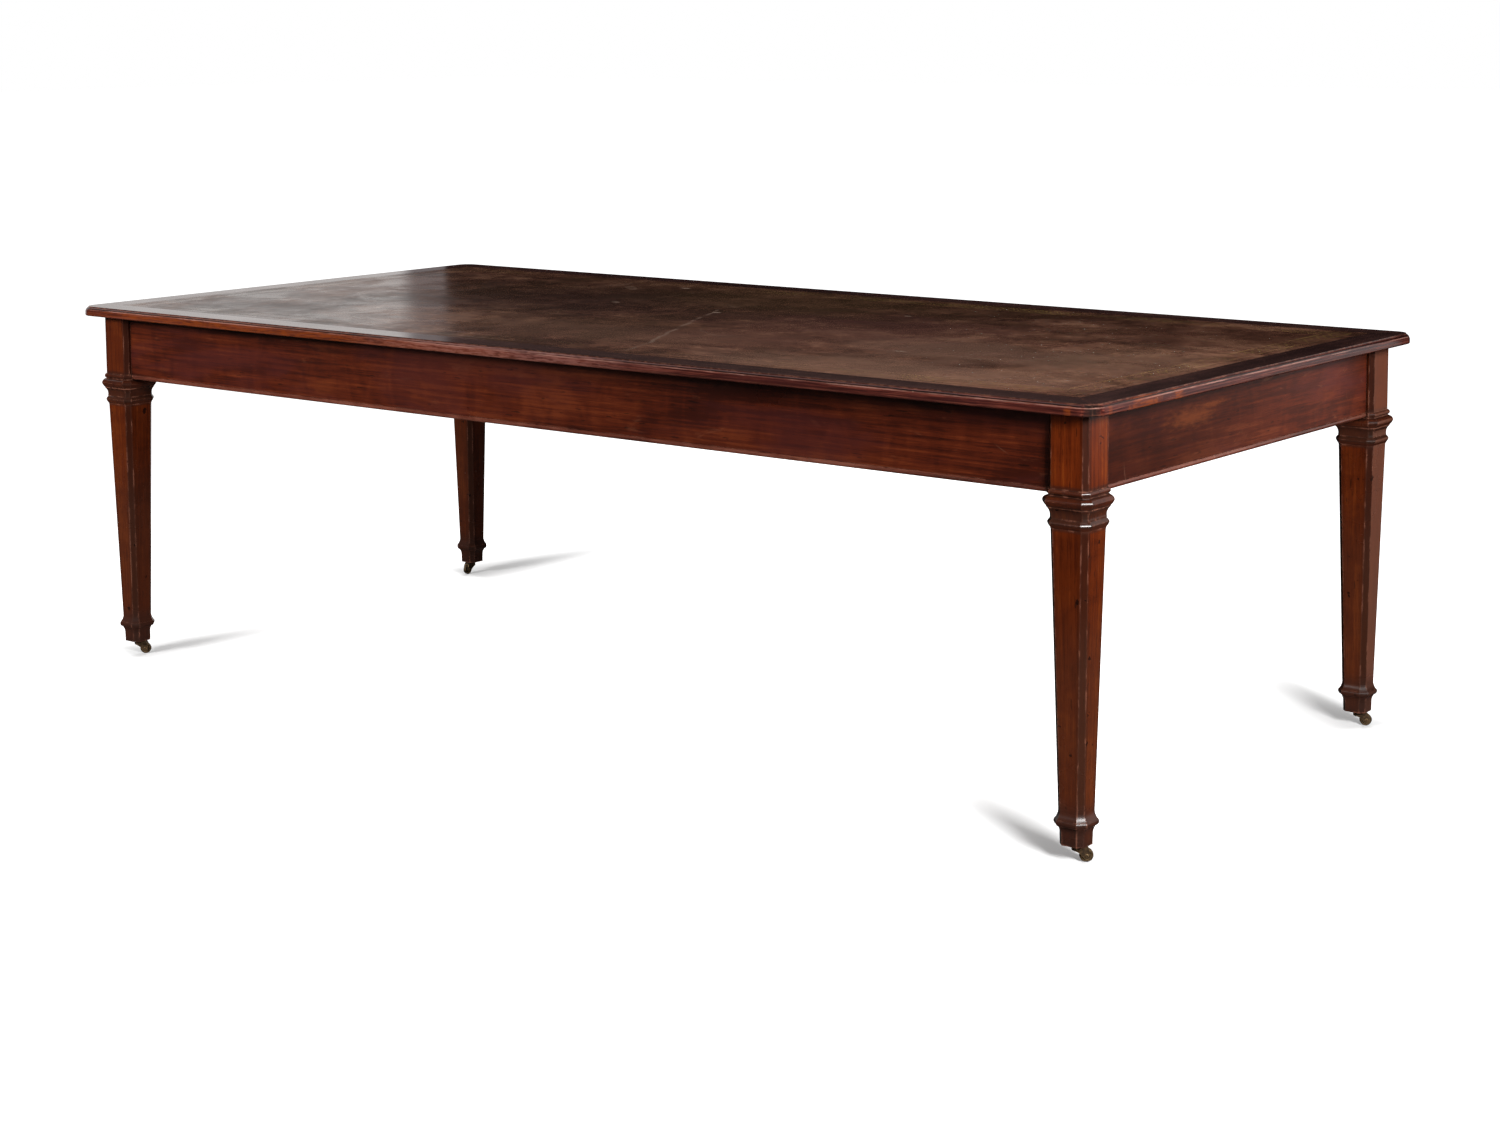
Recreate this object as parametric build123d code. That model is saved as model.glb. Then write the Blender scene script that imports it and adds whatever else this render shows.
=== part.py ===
from build123d import *
import os
from math import sqrt

# Library table, in millimetres. The origin is on the floor under the centre of the top, with
# X along the length, Y across it towards the back, and Z up.

# Overall
top_length = 2510.0
top_width = 1180.0
table_height = 760.0
top_overhang = 36.0  # from a leg's block out to the edge of the top
overrun = 5.0  # how far a cutting solid runs past what it cuts

# Top: a mitred border round three boards, with leather over the boards
top_thickness = 20.0
border_width = 66.0
corner_radius = 36.0
leather_thickness = 1.2
board_count = 3
tongue_thickness = 7.0
tongue_length = 8.5
groove_depth = 9.0
spline_length = 42.0  # loose tongue, along the mitre
spline_width = 30.0
spline_thickness = 4.0

# Thumb moulding round the edge of the top
arris_inset = 7.0
fillet_drop = 2.2
fillet_ledge = 1.6
nose_drop = 12.0  # from the top down to the widest line
nose_swell = 1.4
lower_round = 3.0
lower_swell = 0.9

# Rails
rail_height = 126.0
rail_thickness = 24.0
rail_setback = 12.5  # from the face of the leg's block
tenon_length = 28.0
tenon_thickness = 9.0
tenon_shoulder = 16.0
tenon_gap = 1.0  # left at the bottom of each mortise
bead_projection = 2.0

# Legs: width across the flats and chamfer on each corner
block_side = 74.0
block_chamfer = 7.6
shaft_top_side = 70.8
shaft_bottom_side = 49.6
shaft_chamfer = 8.8
foot_side = 46.0
foot_chamfer = 9.0

# Capital mouldings, from the top down: heights, then projections from the flats they grow from
bead_height = 8.0
bead_step = 2.6
bead_swell = 1.7
neck_height = 2.5
neck_step = 1.3
cushion_height = 8.5  # down to the nose
cushion_nose_step = 10.3
cushion_swell = 2.5
cushion_under_height = 9.5  # from the nose down
cushion_under_swell = 0.8
cushion_fillet = 1.5
cushion_fillet_step = 4.4
cove_height = 16.0
cove_hollow = 2.2
cove_foot_step = 1.2  # inside the block's flats
cove_fillet = 2.0
lower_bead_height = 6.5  # down to the nose
lower_bead_step = 1.0
lower_bead_nose_step = 5.4
lower_bead_swell = 0.7
lower_bead_under_height = 9.0  # from the nose down
lower_bead_under_swell = 0.6
lower_bead_fillet = 1.5
lower_bead_fillet_step = 0.6

# Foot mouldings, from the floor up
foot_height = 20.0
foot_taper = 0.5
foot_cove_height = 12.5
foot_cove_hollow = 1.0
foot_cove_step = 2.4
collar_height = 10.5
collar_swell = 2.2
collar_foot_step = 4.0
collar_top_step = 5.4
flare_height = 13.0
flare_step = 4.9
flare_hollow = 0.9

# Cross bearers, glue blocks and buttons under the top
bearer_count = 2
bearer_thickness = 45.0
bearer_height = 84.0
bearer_tenon_length = 12.0
bearer_tenon_thickness = 20.0
bearer_tenon_shoulder = 12.0
bearer_place_share = 1 / 6  # of the top's length, each side of the centre
glue_block_side = 28.0
glue_block_height = 96.0
button_length = 38.0
button_width = 26.0
button_thickness = 14.0
button_tongue_length = 7.0
button_tongue_thickness = 6.0
button_groove_depth = 8.0
button_groove_height = 7.0
button_gap = 1.0
long_button_shares = (-0.4, -0.08, 0.08, 0.4)  # of the clear length of a long rail
short_button_shares = (-0.28, 0.28)

# Wood screws: the buttons' and the casters'
screw_head_radius = 3.4
screw_head_height = 2.4
screw_shank_radius = 1.8
screw_point_height = 3.0
button_screw_length = 24.0
plate_screw_length = 18.0

# Casters
caster_height = 30.0  # floor to the bottom of the foot
caster_trail = 16.5  # pivot to axle
plate_radius = 18.0
plate_thickness = 2.5
plate_screw_count = 3
plate_screw_ring = 12.6
pivot_radius = 3.2
pivot_head_radius = 4.2
pivot_head_height = 1.6
bearing_gap = 0.1  # between flat faces that turn on each other
running_clearance = 0.05  # radial, of a pin in its hole
boss_radius = 7.5
boss_height = 10.0
horn_eye_radius = 6.0
horn_shoulder = 13.0  # how far the horn's flat top reaches towards the wheel
horn_back_swell = 3.0
horn_belly_hollow = 1.5
horn_eye_turns = (35.0, 215.0)  # where the horn's two edges meet the eye, in degrees
wheel_radius = 11.5
wheel_width = 8.0
wheel_space = 1.0  # between the wheel and the horn
wheel_edge = 1.2  # chamfer on each side of the tread
hub_radius = 4.4
hub_width = 8.6
rim_inner_radius = 8.6
web_width = 5.6
axle_radius = 1.8
axle_head_radius = 3.2
axle_head_height = 1.1
caster_rest_turns = {"front_right": 38.0, "back_right": 38.0, "back_left": -90.0, "front_left": 38.0}

# Levels and places that follow
underside = table_height - top_thickness
leather_bottom = table_height - leather_thickness
tongue_level = (underside + leather_bottom) / 2
field_length = top_length - 2 * border_width
field_width = top_width - 2 * border_width
leg_x = top_length / 2 - top_overhang - block_side / 2
leg_y = top_width / 2 - top_overhang - block_side / 2
leg_places = {
    "front_right": (leg_x, -leg_y),
    "back_right": (leg_x, leg_y),
    "back_left": (-leg_x, leg_y),
    "front_left": (-leg_x, -leg_y),
}
axle_place = Pos(caster_trail, 0, wheel_radius) * Rot(90, 0, 0)
rail_bottom = underside - rail_height
rail_face = block_side / 2 - rail_setback  # out from the line of the leg centres
long_span = 2 * leg_x - block_side
short_span = 2 * leg_y - block_side
sides = {
    "front": (Location((0, -leg_y - rail_face, 0), (0, 0, 0)), long_span),
    "right": (Location((leg_x + rail_face, 0, 0), (0, 0, 90)), short_span),
    "back": (Location((0, leg_y + rail_face, 0), (0, 0, 180)), long_span),
    "left": (Location((-leg_x - rail_face, 0, 0), (0, 0, -90)), short_span),
}


def block(x_range, y_range, z_range):
    """A box between two values on each axis."""
    (x0, x1), (y0, y1), (z0, z1) = x_range, y_range, z_range
    solid = Box(x1 - x0, y1 - y0, z1 - z0)
    return Pos((x0 + x1) / 2, (y0 + y1) / 2, (z0 + z1) / 2) * solid


def around(middle, size):
    """The range of this size round a middle."""
    return middle - size / 2, middle + size / 2


def post(radius, bottom, top):
    """A cylinder on the Z axis between two levels."""
    return Pos(0, 0, (bottom + top) / 2) * Cylinder(radius, top - bottom)


def draw(start, *runs):
    """Edges from a start: a run is (x, y) for a line or (x, y, swell) for an arc."""
    edges = []
    for run in runs:
        end = run[:2]
        edges.append(SagittaArc(start, end, run[2]) if len(run) == 3 else Line(start, end))
        start = end
    return edges


def closed_face(start, *runs):
    """The face inside an outline that returns to its start."""
    return make_face(draw(start, *runs, start))


def upright_prism(start, runs, run_length):
    """A prism along Y both ways, from a right-hand outline and its mirror image across Z."""
    last = runs[-1]
    half = closed_face(start, *runs, (0, last[1]), (0, start[1]))
    section = half + mirror(half, Plane.YZ)
    return extrude(Plane.XZ * section, amount=run_length, both=True)


def eight_sided(square_prism, corner_prism):
    """Where a prism and its quarter turn meet another that is turned both ways by 45 degrees."""
    squared = square_prism & Rot(0, 0, 90) * square_prism
    return squared & Rot(0, 0, 45) * corner_prism & Rot(0, 0, -45) * corner_prism


def corner_reach(side, chamfer):
    """How far the flat of a chamfered corner lies from the axis."""
    return (side - chamfer) / sqrt(2)


def wood_screw(length):
    """A countersunk screw that points up, with its head's face at zero."""
    shank_top = length - screw_point_height
    section = closed_face(
        (0, 0),
        (screw_head_radius, 0),
        (screw_shank_radius, screw_head_height),
        (screw_shank_radius, shank_top),
        (0, length),
    )
    return revolve(Plane.XZ * section, Axis.Z)


# Legs


def leg_runs(flat, shaft_top_flat, shaft_bottom_flat, foot_flat):
    """The right-hand outline of a leg from the top down, for flats this far from its axis."""
    bead_foot = rail_bottom - bead_height
    cushion_top = bead_foot - neck_height
    cushion_nose = cushion_top - cushion_height
    cushion_foot = cushion_nose - cushion_under_height
    cove_top = cushion_foot - cushion_fillet
    cove_foot = cove_top - cove_height
    lower_bead_top = cove_foot - cove_fillet
    lower_bead_nose = lower_bead_top - lower_bead_height
    lower_bead_foot = lower_bead_nose - lower_bead_under_height
    shaft_top = lower_bead_foot - lower_bead_fillet
    foot_top = caster_height + foot_height
    collar_foot = foot_top + foot_cove_height
    collar_top = collar_foot + collar_height
    shaft_foot = collar_top + flare_height
    return (flat, underside), [
        (flat, rail_bottom),
        (flat + bead_step, rail_bottom),
        (flat + bead_step, bead_foot, bead_swell),
        (flat + neck_step, bead_foot),
        (flat + neck_step, cushion_top),
        (flat + cushion_nose_step, cushion_nose, cushion_swell),
        (flat + cushion_fillet_step, cushion_foot, cushion_under_swell),
        (flat + cushion_fillet_step, cove_top),
        (flat - cove_foot_step, cove_foot, -cove_hollow),
        (flat - cove_foot_step, lower_bead_top),
        (shaft_top_flat + lower_bead_step, lower_bead_top),
        (shaft_top_flat + lower_bead_nose_step, lower_bead_nose, lower_bead_swell),
        (shaft_top_flat + lower_bead_fillet_step, lower_bead_foot, lower_bead_under_swell),
        (shaft_top_flat + lower_bead_fillet_step, shaft_top),
        (shaft_top_flat, shaft_top),
        (shaft_bottom_flat, shaft_foot),
        (shaft_bottom_flat + flare_step, collar_top, -flare_hollow),
        (shaft_bottom_flat + collar_top_step, collar_top),
        (shaft_bottom_flat + collar_foot_step, collar_foot, collar_swell),
        (shaft_bottom_flat + foot_cove_step, collar_foot),
        (foot_flat, foot_top, -foot_cove_hollow),
        (foot_flat - foot_taper, caster_height),
    ]


def leg_form():
    """A leg on the Z axis: one outline worked on the flats and one on the chamfers."""
    sizes = (block_side, shaft_top_side, shaft_bottom_side, foot_side)
    chamfers = (block_chamfer, shaft_chamfer, shaft_chamfer, foot_chamfer)
    flats = leg_runs(*[side / 2 for side in sizes])
    corners = leg_runs(*[corner_reach(side, chamfer) for side, chamfer in zip(sizes, chamfers)])
    return eight_sided(upright_prism(*flats, block_side), upright_prism(*corners, block_side))


def leg(form, name):
    """A leg in its place, with mortises for two rails and a seat for its caster's plate."""
    solid = Pos(*leg_places[name], 0) * form
    for location, span in sides.values():
        solid -= location * tenon(span + 2 * tenon_gap)
    seat = post(plate_radius, caster_height - overrun, caster_height + plate_thickness)
    return solid - caster_place(name) * (seat + plate_screws())


# Rails


def tenon(span):
    """The tongue that runs through a rail and stands out at both of its ends."""
    return block(
        around(0, span + 2 * tenon_length),
        around(rail_thickness / 2, tenon_thickness),
        (rail_bottom + tenon_shoulder, underside - tenon_shoulder),
    )


def rail(span):
    """A rail with its outer face on Y zero, a tenon at each end and a groove for the buttons."""
    body = block(around(0, span), (0, rail_thickness), (rail_bottom, underside))
    groove_top = underside - button_thickness + button_tongue_thickness
    groove = block(
        around(0, span),
        (rail_thickness - button_groove_depth, rail_thickness + overrun),
        (groove_top - button_groove_height, groove_top),
    )
    return body + tenon(span) - groove


def rail_bead(span, form):
    """The strip under a rail, round-nosed, with its ends scribed to the beads of the legs."""
    section = closed_face(
        (rail_thickness, rail_bottom),
        (0, rail_bottom),
        (0, rail_bottom - bead_height, -bead_projection),
        (rail_thickness, rail_bottom - bead_height),
    )
    strip = extrude(Plane.YZ * section, amount=span / 2, both=True)
    for end in (-1, 1):
        strip -= Pos(end * (span + block_side) / 2, rail_face, 0) * form
    return strip


# Under the top


def bearer_tenons(x):
    """The stub tenons of a cross bearer, run right through it."""
    inner = leg_y + rail_face - rail_thickness
    return block(
        around(x, bearer_tenon_thickness),
        around(0, 2 * (inner + bearer_tenon_length)),
        (underside - bearer_height + bearer_tenon_shoulder, underside - bearer_tenon_shoulder),
    )


def bearer(x):
    """A cross bearer between the long rails."""
    inner = leg_y + rail_face - rail_thickness
    body = block(around(x, bearer_thickness), (-inner, inner), (underside - bearer_height, underside))
    return body + bearer_tenons(x)


def glue_blocks(name):
    """Two three-cornered blocks in the angles between a leg and its rails."""
    x, y = leg_places[name]
    sign_x, sign_y = (1 if x > 0 else -1), (1 if y > 0 else -1)
    inner = rail_face - rail_thickness
    half = block_side / 2
    section_long = make_face(Polyline(
        (-half, inner), (-half - glue_block_side, inner), (-half, inner - glue_block_side), close=True,
    ))
    section_short = make_face(Polyline(
        (inner, -half), (inner, -half - glue_block_side), (inner - glue_block_side, -half), close=True,
    ))
    bottom = (rail_bottom + underside - glue_block_height) / 2
    pair = extrude(section_long + section_short, amount=glue_block_height)
    pair = Pos(0, 0, bottom) * pair
    if sign_x < 0:
        pair = mirror(pair, Plane.YZ)
    if sign_y < 0:
        pair = mirror(pair, Plane.XZ)
    return Pos(x, y, 0) * pair


def button_places():
    """Where each button stands on its rail."""
    places = []
    for side, (location, span) in sides.items():
        shares = long_button_shares if side in ("front", "back") else short_button_shares
        places += [location * Pos(share * span, rail_thickness, 0) for share in shares]
    return places


def button():
    """A button on the inner face of a rail: its tongue in the groove, its top on the boards."""
    bottom = underside - button_thickness
    width = around(0, button_width)
    body = block(width, (button_gap, button_gap + button_length), (bottom, underside))
    tongue = block(
        width,
        (-button_tongue_length, button_gap),
        (bottom, bottom + button_tongue_thickness),
    )
    return body + tongue - button_screw()


def button_screw():
    """The screw up through a button into the boards."""
    return Pos(0, button_gap + button_length / 2, underside - button_thickness) * wood_screw(button_screw_length)


# Top


def edge_runs(reach):
    """The right-hand outline of the top's edge for an edge this far from the middle."""
    return (reach - arris_inset, table_height), [
        (reach - arris_inset, table_height - fillet_drop),
        (reach - arris_inset + fillet_ledge, table_height - fillet_drop),
        (reach, table_height - nose_drop, nose_swell),
        (reach, underside + lower_round),
        (reach - lower_round, underside, lower_swell),
    ]


def moulded_slab():
    """The whole top as one slab, with its moulded edge turned round each corner."""
    corner_x, corner_y = top_length / 2 - corner_radius, top_width / 2 - corner_radius
    along_y = upright_prism(*edge_runs(top_length / 2), corner_y)
    along_x = upright_prism(*edge_runs(top_width / 2), corner_x)
    slab = along_y + Rot(0, 0, 90) * along_x
    start, runs = edge_runs(corner_radius)
    section = closed_face(start, *runs, (0, underside), (0, table_height))
    quarter = revolve(Plane.XZ * section, Axis.Z, 90)
    for turn, (x, y) in enumerate(((1, 1), (-1, 1), (-1, -1), (1, -1))):
        slab += Pos(x * corner_x, y * corner_y, 0) * Rot(0, 0, 90 * turn) * quarter
    return slab


def spline(sign_x, sign_y):
    """The loose tongue across the mitre of one corner."""
    middle_x = sign_x * (top_length - border_width) / 2
    middle_y = sign_y * (top_width - border_width) / 2
    turn = Rot(0, 0, 45 * sign_x * sign_y)
    return Pos(middle_x, middle_y, tongue_level) * turn * Box(spline_length, spline_width, spline_thickness)


def border_pieces(slab, splines):
    """The four mitred members of the border, cut from the slab round the field."""
    field = block(around(0, field_length), around(0, field_width), (underside - overrun, table_height + overrun))
    groove = block(
        around(0, field_length + 2 * groove_depth),
        around(0, field_width + 2 * groove_depth),
        around(tongue_level, tongue_thickness),
    )
    ring = slab - field - groove
    for loose_tongue in splines:
        ring -= loose_tongue
    outer_x, outer_y = top_length / 2 + overrun, top_width / 2 + overrun
    inner_x, inner_y = field_length / 2 - overrun, field_width / 2 - overrun
    pieces = {}
    for side, sign in (("front", -1), ("back", 1)):
        wedge = Polyline(
            (-outer_x, sign * outer_y), (outer_x, sign * outer_y),
            (inner_x, sign * inner_y), (-inner_x, sign * inner_y), close=True,
        )
        pieces[side] = ring & extrude(make_face(wedge), amount=table_height)
    for side, sign in (("left", -1), ("right", 1)):
        wedge = Polyline(
            (sign * outer_x, -outer_y), (sign * outer_x, outer_y),
            (sign * inner_x, inner_y), (sign * inner_x, -inner_y), close=True,
        )
        pieces[side] = ring & extrude(make_face(wedge), amount=table_height)
    return pieces


def top_board(number):
    """One of the boards under the leather, numbered from the front, tongued on three edges."""
    width = field_width / board_count
    front = -field_width / 2 + number * width
    first = number == 0
    tongue_front = front - tongue_length if first else front
    body = block(around(0, field_length), (front, front + width), (underside, leather_bottom))
    tongue = block(
        around(0, field_length + 2 * tongue_length),
        (tongue_front, front + width + tongue_length),
        around(tongue_level, tongue_thickness),
    )
    if first:
        return body + tongue
    groove = block(
        around(0, field_length + 2 * tongue_length),
        (front - overrun, front + groove_depth),
        around(tongue_level, tongue_thickness),
    )
    return body + tongue - groove


# Casters, each made on the pivot's axis with the wheel trailing along X


def caster_place(name):
    """Where a caster's pivot stands, turned as the caster rests."""
    return Pos(*leg_places[name], 0) * Rot(0, 0, caster_rest_turns[name])


def plate_screws():
    """The ring of screws that hold the plate to the foot."""
    ring = PolarLocations(plate_screw_ring, plate_screw_count)
    return [Pos(0, 0, caster_height) * place * wood_screw(plate_screw_length) for place in ring]


def pivot_pin():
    """The pin that is riveted into the plate and carries the horn on its head."""
    head_top = caster_height - boss_height - 2 * bearing_gap
    shank = post(pivot_radius, head_top, caster_height + plate_thickness)
    return shank + post(pivot_head_radius, head_top - pivot_head_height, head_top)


def caster_plate():
    """The round plate let into the foot."""
    disc = post(plate_radius, caster_height, caster_height + plate_thickness)
    return disc - post(pivot_radius, caster_height - overrun, caster_height + overrun) - plate_screws()


def horn():
    """The forked horn: a boss round the pivot that sweeps down both sides of the wheel."""
    boss_top = caster_height - bearing_gap
    boss_bottom = boss_top - boss_height
    axle = Vector(caster_trail, wheel_radius)
    upper, lower = [axle + Vector(horn_eye_radius, 0).rotate(Axis.Z, turn) for turn in horn_eye_turns]
    section = closed_face(
        (0, boss_top),
        (horn_shoulder, boss_top),
        (upper.X, upper.Y, horn_back_swell),
        (lower.X, lower.Y, horn_eye_radius),
        (-boss_radius / 2, boss_bottom, -horn_belly_hollow),
        (0, boss_bottom),
    )
    cheeks = extrude(Plane.XZ * section, amount=boss_radius, both=True)
    solid = cheeks + post(boss_radius, boss_bottom, boss_top)
    wheel_room = Cylinder(wheel_radius + wheel_space, hub_width + 2 * bearing_gap)
    axle_hole = Cylinder(axle_radius, 2 * boss_radius + overrun)
    solid -= axle_place * (wheel_room + axle_hole)
    solid -= post(pivot_radius + running_clearance, boss_bottom - overrun, boss_top + overrun)
    return solid - post(pivot_head_radius + bearing_gap, 0, boss_bottom)


def axle():
    """The axle across the horn, with a low riveted head on each side."""
    head_top = boss_radius + axle_head_height
    half = closed_face(
        (0, 0),
        (axle_radius, 0),
        (axle_radius, boss_radius),
        (axle_head_radius, boss_radius),
        (axle_radius, head_top),
        (0, head_top),
    )
    section = half + mirror(half, Plane.XZ)
    return axle_place * revolve(Plane.XZ * section, Axis.Z)


def wheel():
    """The wheel, with a hub that stands out of a sunk web and a chamfered tread."""
    rim = wheel_width / 2
    half = closed_face(
        (axle_radius + running_clearance, 0),
        (wheel_radius, 0),
        (wheel_radius, rim - wheel_edge),
        (wheel_radius - wheel_edge, rim),
        (rim_inner_radius, rim),
        (rim_inner_radius, web_width / 2),
        (hub_radius, web_width / 2),
        (hub_radius, hub_width / 2),
        (axle_radius + running_clearance, hub_width / 2),
    )
    section = half + mirror(half, Plane.XZ)
    return axle_place * revolve(Plane.XZ * section, Axis.Z)


def group(solids):
    """Separate solids as one node."""
    return Compound(children=[solid for shape in solids for solid in shape.solids()])


def build_nodes():
    """Every piece of the table, by its node's name."""
    nodes = {}
    form = leg_form()
    for name in leg_places:
        nodes[f"leg_{name}"] = leg(form, name)
        nodes[f"glue_blocks_{name}"] = group([glue_blocks(name)])

    bearer_xs = [
        top_length * bearer_place_share * (2 * number / (bearer_count - 1) - 1)
        for number in range(bearer_count)
    ]
    for side, (location, span) in sides.items():
        piece = location * rail(span)
        for x in bearer_xs:
            piece -= bearer_tenons(x)
        nodes[f"rail_{side}"] = piece
        nodes[f"rail_bead_{side}"] = location * rail_bead(span, form)
    for number, x in enumerate(bearer_xs):
        nodes[f"cross_bearer_{number + 1}"] = bearer(x)

    screws = [place * button_screw() for place in button_places()]
    nodes["top_buttons"] = group([place * button() for place in button_places()])
    nodes["top_button_screws"] = group(screws)

    splines = [spline(sign_x, sign_y) for sign_x in (-1, 1) for sign_y in (-1, 1)]
    nodes["border_splines"] = group(splines)
    for side, piece in border_pieces(moulded_slab(), splines).items():
        nodes[f"top_border_{side}"] = piece
    for number in range(board_count):
        nodes[f"top_board_{number + 1}"] = top_board(number) - screws
    nodes["leather_inset"] = block(
        around(0, field_length), around(0, field_width), (leather_bottom, table_height)
    )

    for name in leg_places:
        place = caster_place(name)
        nodes[f"caster_plate_{name}"] = place * caster_plate()
        nodes[f"caster_screws_{name}"] = group([place * screw for screw in plate_screws()])
        nodes[f"caster_pivot_{name}"] = place * pivot_pin()
        nodes[f"caster_horn_{name}"] = place * horn()
        nodes[f"caster_axle_{name}"] = place * axle()
        nodes[f"caster_wheel_{name}"] = place * wheel()
    return nodes


os.makedirs("parts", exist_ok=True)
for node_name, shape in build_nodes().items():
    export_step(shape, f"parts/{node_name}.step")
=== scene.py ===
"""The look of a long library table: old polished mahogany, a leather top and small brass casters."""
import math

import bpy
import numpy as np
from mathutils import Matrix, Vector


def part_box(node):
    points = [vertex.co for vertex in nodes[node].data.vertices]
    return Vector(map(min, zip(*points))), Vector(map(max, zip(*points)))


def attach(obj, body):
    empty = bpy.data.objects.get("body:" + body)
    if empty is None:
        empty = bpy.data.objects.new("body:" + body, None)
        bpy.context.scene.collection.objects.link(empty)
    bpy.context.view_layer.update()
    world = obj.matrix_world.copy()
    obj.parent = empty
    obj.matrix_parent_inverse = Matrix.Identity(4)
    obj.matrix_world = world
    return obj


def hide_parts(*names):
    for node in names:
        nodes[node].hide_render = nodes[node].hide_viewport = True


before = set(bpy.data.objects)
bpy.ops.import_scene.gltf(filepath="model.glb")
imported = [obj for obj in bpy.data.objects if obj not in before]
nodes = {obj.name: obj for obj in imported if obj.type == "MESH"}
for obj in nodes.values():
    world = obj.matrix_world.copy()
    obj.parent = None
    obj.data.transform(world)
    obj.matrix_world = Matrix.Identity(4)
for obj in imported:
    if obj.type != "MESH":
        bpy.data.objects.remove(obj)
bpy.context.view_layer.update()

# Sizes of the table in metres, read from its solids
TOP_LOW, TOP_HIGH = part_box("top_border_front")
FIELD_LOW, FIELD_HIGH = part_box("leather_inset")
PLATE_LOW, PLATE_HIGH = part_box("caster_plate_back_right")
TOP_HEIGHT = TOP_HIGH.z
LEG_X, LEG_Y = (PLATE_LOW.x + PLATE_HIGH.x) / 2, (PLATE_LOW.y + PLATE_HIGH.y) / 2

# Camera, fitted to the photograph's edges: metres, millimetres, radians, and a share of the sensor
CAMERA_PLACE = (3.34806, -4.10072, 1.36399)
CAMERA_LENS, CAMERA_SENSOR = 63.3645, 36.0
CAMERA_YAW, CAMERA_PITCH, CAMERA_ROLL = 0.6685911, 0.1068411, -0.0070040
CAMERA_SHIFT = -0.175
CAMERA_REACH = 200.0

# Tones of the wood, dark to light
LEG_TONES = ((0.058, 0.0074, 0.0010), (0.112, 0.0160, 0.0018), (0.178, 0.0320, 0.0036))
RAIL_TONES = ((0.034, 0.0052, 0.0022), (0.076, 0.0116, 0.0036), (0.134, 0.0250, 0.0070))
END_RAIL_TONES = ((0.034, 0.0064, 0.0030), (0.060, 0.0106, 0.0042), (0.098, 0.0210, 0.0080))
# The beads' tones are lighter than the rails', partly a painted highlight along the bead
BEAD_TONES = ((0.060, 0.0150, 0.0090), (0.110, 0.0270, 0.0150), (0.180, 0.0560, 0.0340))
BORDER_TONES = ((0.022, 0.0090, 0.0080), (0.046, 0.0195, 0.0165), (0.080, 0.0360, 0.0300))
THUMB_TONES = ((0.030, 0.0068, 0.0056), (0.070, 0.0148, 0.0108), (0.140, 0.0360, 0.0240))
BARE_WOOD = (0.185, 0.036, 0.006)
RUBBED_WOOD = (0.220, 0.072, 0.034)
WORN_ARRIS = (0.210, 0.082, 0.052)
# A near-black brown: dirt in ticks and dents, a dark line at the leather's rim, and painted shade in the
# quirks and under the top's overhang
DIRT_AND_SHADE = (0.0050, 0.0016, 0.0010)


# Building materials


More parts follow.
